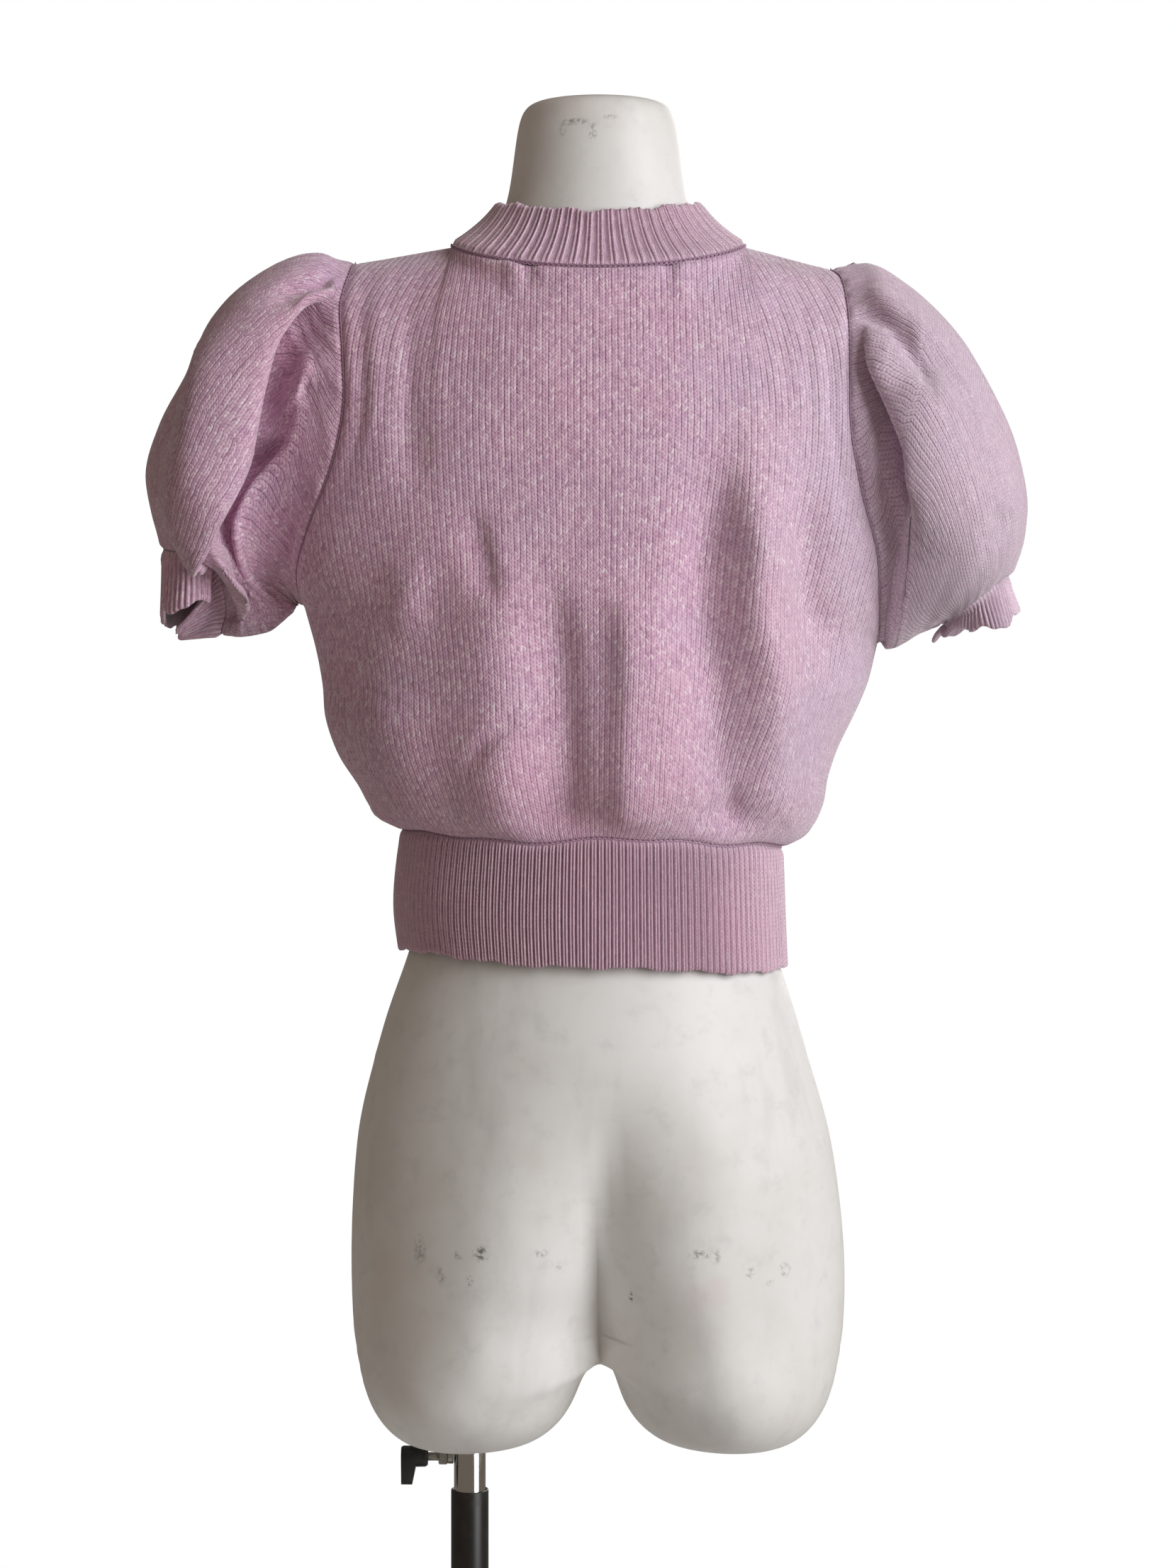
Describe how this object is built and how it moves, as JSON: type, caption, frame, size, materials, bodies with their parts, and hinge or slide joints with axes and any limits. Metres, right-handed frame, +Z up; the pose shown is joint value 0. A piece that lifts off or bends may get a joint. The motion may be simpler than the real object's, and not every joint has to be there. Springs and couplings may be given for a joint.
{
  "type": "knit top on a limbless dress form with a pole stand",
  "caption": "Cropped knit top with gathered puff sleeves and ribbed neckband, cuffs and hem, worn by a limbless dress form on a pole stand.",
  "frame": {"origin": "centre of the base plate's underside, on the floor", "axes": "+Z up; the wearer's back faces -Y; +X to the right for someone who looks at the back"},
  "size_m": [0.5927, 0.33, 1.21],
  "materials": {
    "knit": "soft marled pink and lilac jersey",
    "rib_knit": "the same yarn, ribbed",
    "form_shell": "satin off-white, a little smudged",
    "black_metal": "satin black paint",
    "chrome": "polished",
    "zinc_steel": "dull zinc plating",
    "black_plastic": "moulded, slightly worn"
  },
  "bodies": {
    "root": {"back_panel": "knit", "front_panel": "knit", "sleeve_left": "knit", "sleeve_right": "knit", "hem_band": "rib_knit", "neckband": "rib_knit", "cuff_left": "rib_knit", "cuff_right": "rib_knit", "dress_form": "form_shell", "stand_base": "black_metal", "stand_flange": "black_metal", "pole_outer": "black_metal", "pole_inner": "chrome", "clamp_bolt": "zinc_steel", "clamp_knob": "black_plastic"}
  },
  "joints": []
}
